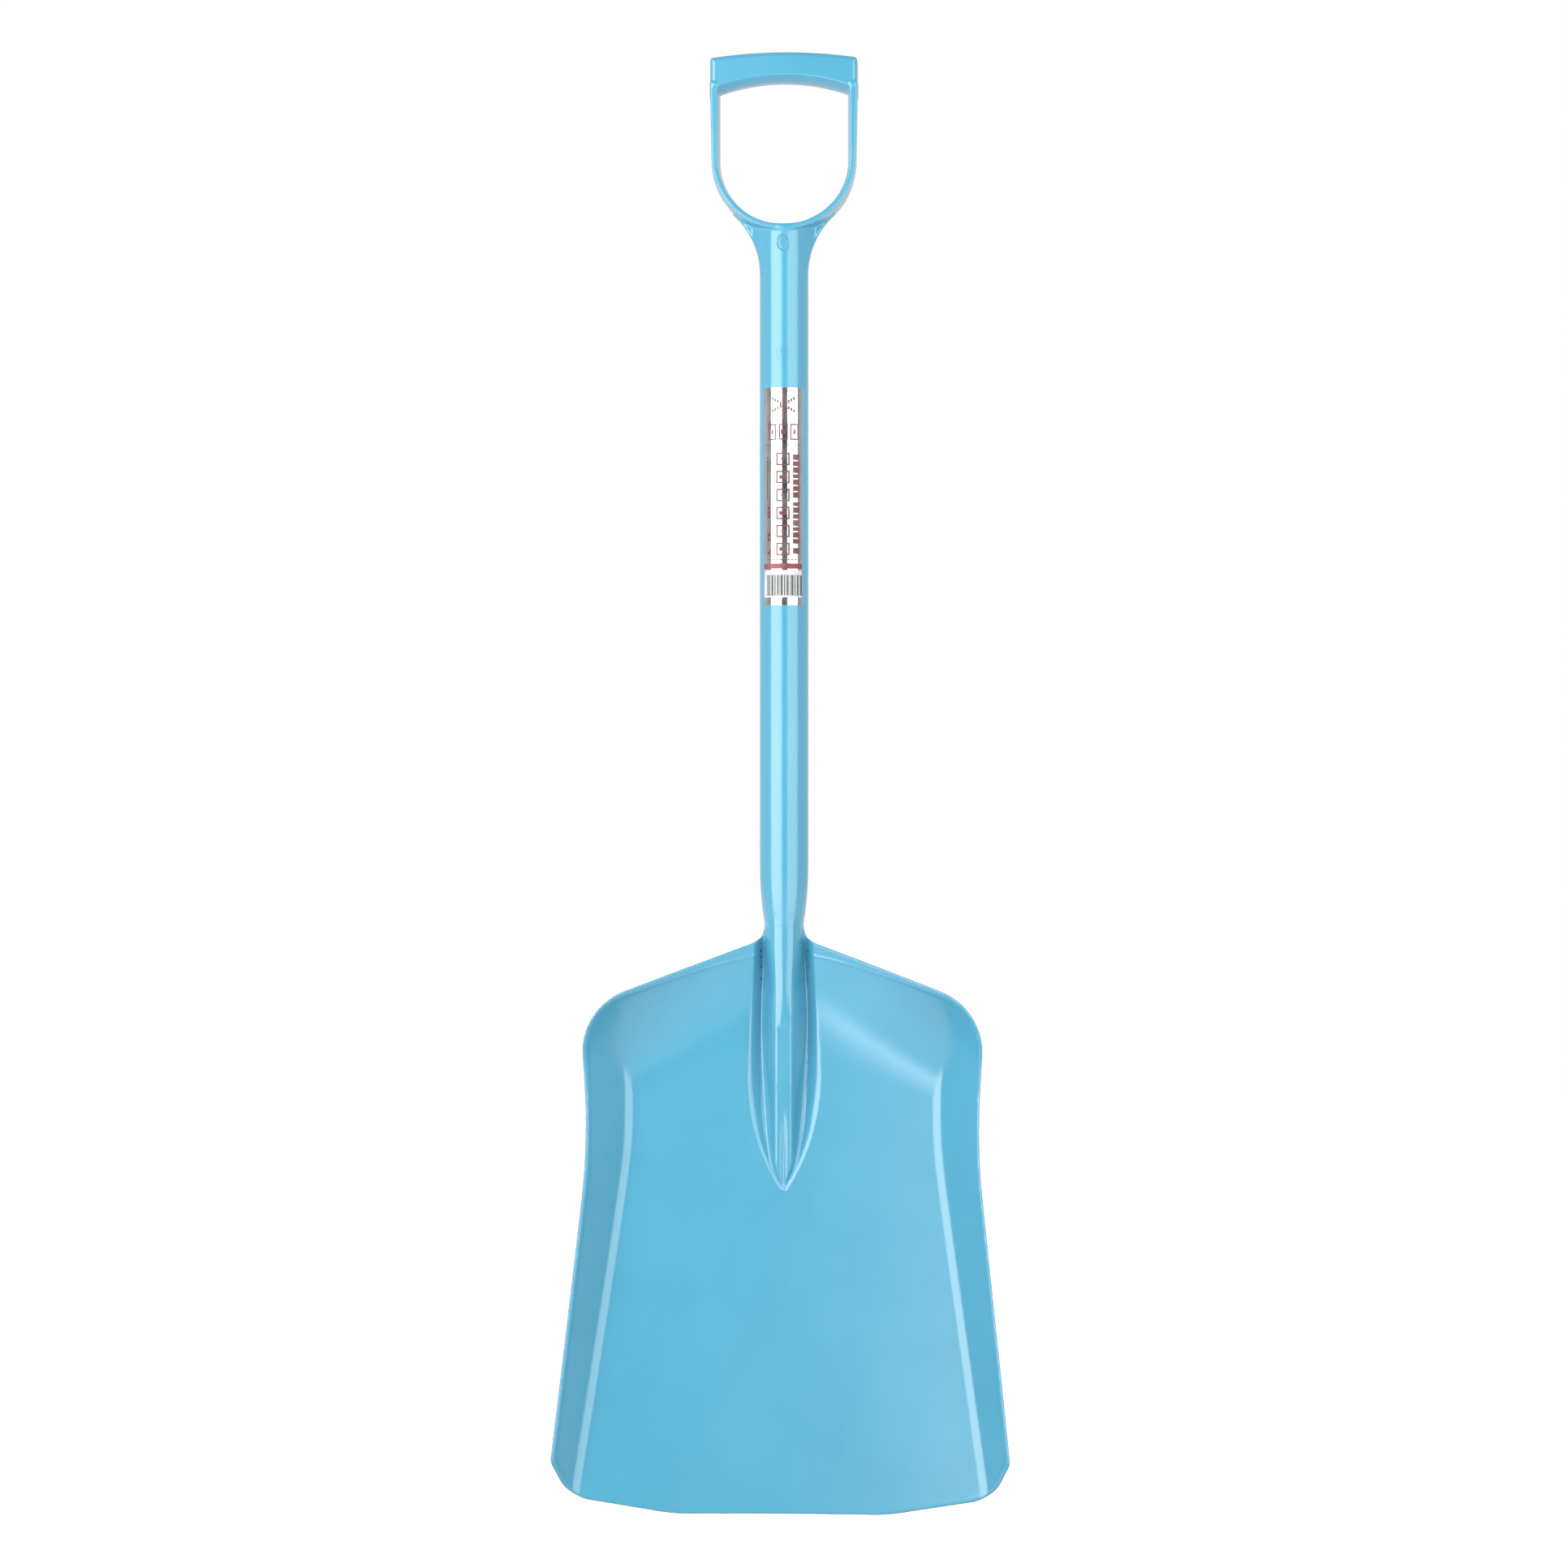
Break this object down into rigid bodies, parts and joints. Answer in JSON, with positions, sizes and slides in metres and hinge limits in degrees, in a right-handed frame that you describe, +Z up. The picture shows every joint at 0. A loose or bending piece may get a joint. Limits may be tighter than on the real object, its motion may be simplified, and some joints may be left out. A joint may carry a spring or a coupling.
{
  "type": "snow shovel",
  "caption": "Moulded plastic snow shovel with a D-shaped hand grip, a round shaft and a wide dished blade whose pointed frog carries the neck.",
  "frame": {"origin": "on the shaft's axis at the clip station, 90 mm above the shaft's lower end, where a tool clip grips the bare shaft", "axes": "+Z up the shaft to the hand grip, -Y out of the load face, +X to the right seen from the load face"},
  "size_m": [0.338, 0.1168, 1.0932],
  "materials": {
    "shovel_plastic": "satin moulded polypropylene, light blue",
    "label_foil": "bright metallised label foil with printed marks",
    "label_film": "clear over-laminate film"
  },
  "bodies": {
    "root": {"grip_bar": "shovel_plastic", "grip_arm_left": "shovel_plastic", "grip_arm_right": "shovel_plastic", "yoke_bow": "shovel_plastic", "yoke_stem": "shovel_plastic", "yoke_web_left": "shovel_plastic", "yoke_web_right": "shovel_plastic", "gas_port_plug": "shovel_plastic", "shaft_tube": "shovel_plastic", "neck": "shovel_plastic", "blade_frog": "shovel_plastic", "blade_pan": "shovel_plastic", "rim_left": "shovel_plastic", "rim_right": "shovel_plastic", "label_foil": "label_foil", "label_film": "label_film"}
  },
  "joints": []
}
